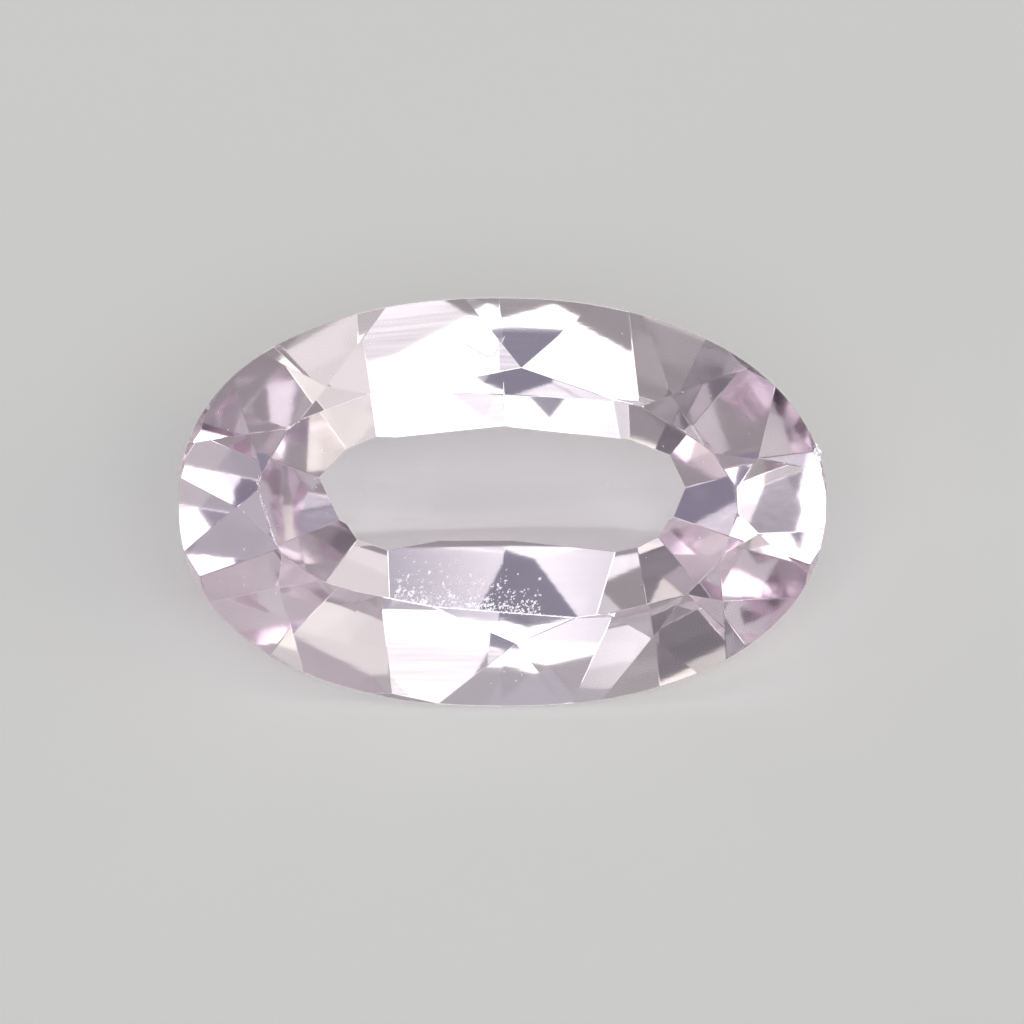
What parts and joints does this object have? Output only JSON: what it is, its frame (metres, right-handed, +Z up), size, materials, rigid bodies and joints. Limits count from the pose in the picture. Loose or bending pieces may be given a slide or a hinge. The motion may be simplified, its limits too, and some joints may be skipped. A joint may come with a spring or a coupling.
{
  "type": "cut kunzite gemstone",
  "caption": "Oval faceted gemstone of clear, very pale lilac kunzite, with a broad flat table and a ridged underside, lying on one facet of that underside.",
  "frame": {"origin": "middle of the bottom of the stone's box, on the surface that it lies on", "axes": "+X along the stone's length, +Z up, and -Y towards the side to which the table leans"},
  "size_m": [0.012, 0.006, 0.0051],
  "materials": {
    "kunzite": "clear and polished, very pale lilac pink"
  },
  "bodies": {
    "root": {"kunzite_gem": "kunzite"}
  },
  "joints": []
}
